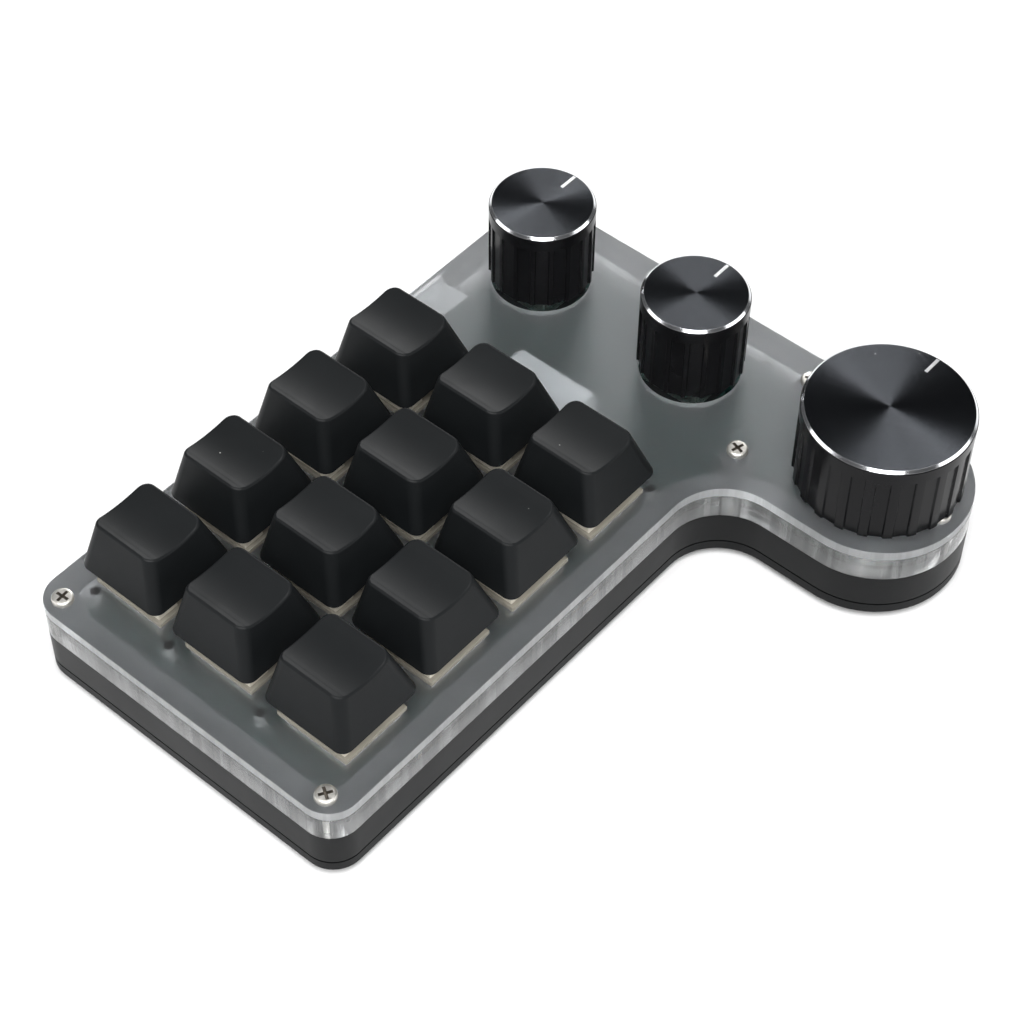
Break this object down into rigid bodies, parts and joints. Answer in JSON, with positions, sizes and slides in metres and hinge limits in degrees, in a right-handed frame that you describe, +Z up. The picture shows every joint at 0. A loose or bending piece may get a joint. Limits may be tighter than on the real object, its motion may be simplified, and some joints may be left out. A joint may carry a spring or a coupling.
{
  "type": "macro keypad",
  "caption": "Desk keypad with blank sloped keys in rows and fluted turning knobs beside them, one large knob on a rounded lobe; layered case with a clear ring.",
  "frame": {"origin": "under the middle of the object, on the plane its feet stand on", "axes": "+X to the user's right, from the keys to the knobs; +Y away from the user; +Z up"},
  "size_m": [0.1296, 0.1072, 0.0356],
  "materials": {
    "cover": "matte",
    "frame": "satin",
    "clear_ring": "polished, clear",
    "plate": "satin face, polished rim",
    "board": "solder mask",
    "brass": "turned",
    "white_nylon": "moulded",
    "feet": "matte",
    "screws": "nickel plated",
    "socket_shell": "drawn",
    "module_can": "drawn, tinned",
    "diodes": "moulded",
    "switch_base": "moulded",
    "switch_top": "moulded",
    "spring": "wire",
    "contact": "stamped",
    "keycap": "fine texture",
    "stem": "moulded",
    "encoder_base": "moulded",
    "encoder_metal": "plated",
    "rotor": "moulded",
    "knob": "black anodised, bright cut edge",
    "grub": "blackened"
  },
  "bodies": {
    "case": {"bottom_cover": "cover", "case_frame": "frame", "clear_spacer": "clear_ring", "top_plate": "plate", "circuit_board": "board", "board_standoffs": "brass", "board_spacers": "white_nylon", "rubber_feet": "feet", "top_screws": "screws", "bottom_screws": "screws", "usb_socket": "socket_shell", "controller_module": "module_can", "diodes": "diodes", "switch_bases": "switch_base", "switch_tops": "switch_top", "switch_springs": "spring", "switch_contacts": "contact", "encoder_bases": "encoder_base", "encoder_housings": "encoder_metal"},
    "key_row1_col1": {"keycap_row1_col1": "keycap", "stem_row1_col1": "stem"},
    "key_row1_col2": {"keycap_row1_col2": "keycap", "stem_row1_col2": "stem"},
    "key_row1_col3": {"keycap_row1_col3": "keycap", "stem_row1_col3": "stem"},
    "key_row1_col4": {"keycap_row1_col4": "keycap", "stem_row1_col4": "stem"},
    "key_row2_col1": {"keycap_row2_col1": "keycap", "stem_row2_col1": "stem"},
    "key_row2_col2": {"keycap_row2_col2": "keycap", "stem_row2_col2": "stem"},
    "key_row2_col3": {"keycap_row2_col3": "keycap", "stem_row2_col3": "stem"},
    "key_row2_col4": {"keycap_row2_col4": "keycap", "stem_row2_col4": "stem"},
    "key_row3_col1": {"keycap_row3_col1": "keycap", "stem_row3_col1": "stem"},
    "key_row3_col2": {"keycap_row3_col2": "keycap", "stem_row3_col2": "stem"},
    "key_row3_col3": {"keycap_row3_col3": "keycap", "stem_row3_col3": "stem"},
    "key_row3_col4": {"keycap_row3_col4": "keycap", "stem_row3_col4": "stem"},
    "encoder_drive_back": {"encoder_rotor_back": "rotor"},
    "dial_back": {"encoder_shaft_back": "encoder_metal", "knob_back": "knob", "knob_insert_back": "brass", "knob_screw_back": "grub"},
    "encoder_drive_middle": {"encoder_rotor_middle": "rotor"},
    "dial_middle": {"encoder_shaft_middle": "encoder_metal", "knob_middle": "knob", "knob_insert_middle": "brass", "knob_screw_middle": "grub"},
    "encoder_drive_front": {"encoder_rotor_front": "rotor"},
    "dial_front": {"encoder_shaft_front": "encoder_metal", "knob_front": "knob", "knob_insert_front": "brass", "knob_screw_front": "grub"}
  },
  "joints": [
    {"name": "press_row1_col1", "type": "slide", "parent": "case", "child": "key_row1_col1", "axis": [0, 0, -1], "range_m": [0, 0.004], "stiffness_N_per_m": 60, "springref_m": -0.0075, "deforming": ["switch_springs"]},
    {"name": "press_row1_col2", "type": "slide", "parent": "case", "child": "key_row1_col2", "axis": [0, 0, -1], "range_m": [0, 0.004], "stiffness_N_per_m": 60, "springref_m": -0.0075, "deforming": ["switch_springs"]},
    {"name": "press_row1_col3", "type": "slide", "parent": "case", "child": "key_row1_col3", "axis": [0, 0, -1], "range_m": [0, 0.004], "stiffness_N_per_m": 60, "springref_m": -0.0075, "deforming": ["switch_springs"]},
    {"name": "press_row1_col4", "type": "slide", "parent": "case", "child": "key_row1_col4", "axis": [0, 0, -1], "range_m": [0, 0.004], "stiffness_N_per_m": 60, "springref_m": -0.0075, "deforming": ["switch_springs"]},
    {"name": "press_row2_col1", "type": "slide", "parent": "case", "child": "key_row2_col1", "axis": [0, 0, -1], "range_m": [0, 0.004], "stiffness_N_per_m": 60, "springref_m": -0.0075, "deforming": ["switch_springs"]},
    {"name": "press_row2_col2", "type": "slide", "parent": "case", "child": "key_row2_col2", "axis": [0, 0, -1], "range_m": [0, 0.004], "stiffness_N_per_m": 60, "springref_m": -0.0075, "deforming": ["switch_springs"]},
    {"name": "press_row2_col3", "type": "slide", "parent": "case", "child": "key_row2_col3", "axis": [0, 0, -1], "range_m": [0, 0.004], "stiffness_N_per_m": 60, "springref_m": -0.0075, "deforming": ["switch_springs"]},
    {"name": "press_row2_col4", "type": "slide", "parent": "case", "child": "key_row2_col4", "axis": [0, 0, -1], "range_m": [0, 0.004], "stiffness_N_per_m": 60, "springref_m": -0.0075, "deforming": ["switch_springs"]},
    {"name": "press_row3_col1", "type": "slide", "parent": "case", "child": "key_row3_col1", "axis": [0, 0, -1], "range_m": [0, 0.004], "stiffness_N_per_m": 60, "springref_m": -0.0075, "deforming": ["switch_springs"]},
    {"name": "press_row3_col2", "type": "slide", "parent": "case", "child": "key_row3_col2", "axis": [0, 0, -1], "range_m": [0, 0.004], "stiffness_N_per_m": 60, "springref_m": -0.0075, "deforming": ["switch_springs"]},
    {"name": "press_row3_col3", "type": "slide", "parent": "case", "child": "key_row3_col3", "axis": [0, 0, -1], "range_m": [0, 0.004], "stiffness_N_per_m": 60, "springref_m": -0.0075, "deforming": ["switch_springs"]},
    {"name": "press_row3_col4", "type": "slide", "parent": "case", "child": "key_row3_col4", "axis": [0, 0, -1], "range_m": [0, 0.004], "stiffness_N_per_m": 60, "springref_m": -0.0075, "deforming": ["switch_springs"]},
    {"name": "turn_back", "type": "hinge", "parent": "case", "child": "encoder_drive_back", "pos_m": [0.0481, 0.0385, 0.0174], "axis": [0, 0, 1], "continuous": true},
    {"name": "push_back", "type": "slide", "parent": "encoder_drive_back", "child": "dial_back", "axis": [0, 0, -1], "range_m": [0, 0.0005], "stiffness_N_per_m": 3000, "springref_m": -0.0006},
    {"name": "turn_middle", "type": "hinge", "parent": "case", "child": "encoder_drive_middle", "pos_m": [0.0481, 0.0038, 0.0174], "axis": [0, 0, 1], "continuous": true},
    {"name": "push_middle", "type": "slide", "parent": "encoder_drive_middle", "child": "dial_middle", "axis": [0, 0, -1], "range_m": [0, 0.0005], "stiffness_N_per_m": 3000, "springref_m": -0.0006},
    {"name": "turn_front", "type": "hinge", "parent": "case", "child": "encoder_drive_front", "pos_m": [0.0481, -0.0369, 0.0174], "axis": [0, 0, 1], "continuous": true},
    {"name": "push_front", "type": "slide", "parent": "encoder_drive_front", "child": "dial_front", "axis": [0, 0, -1], "range_m": [0, 0.0005], "stiffness_N_per_m": 3000, "springref_m": -0.0006}
  ]
}
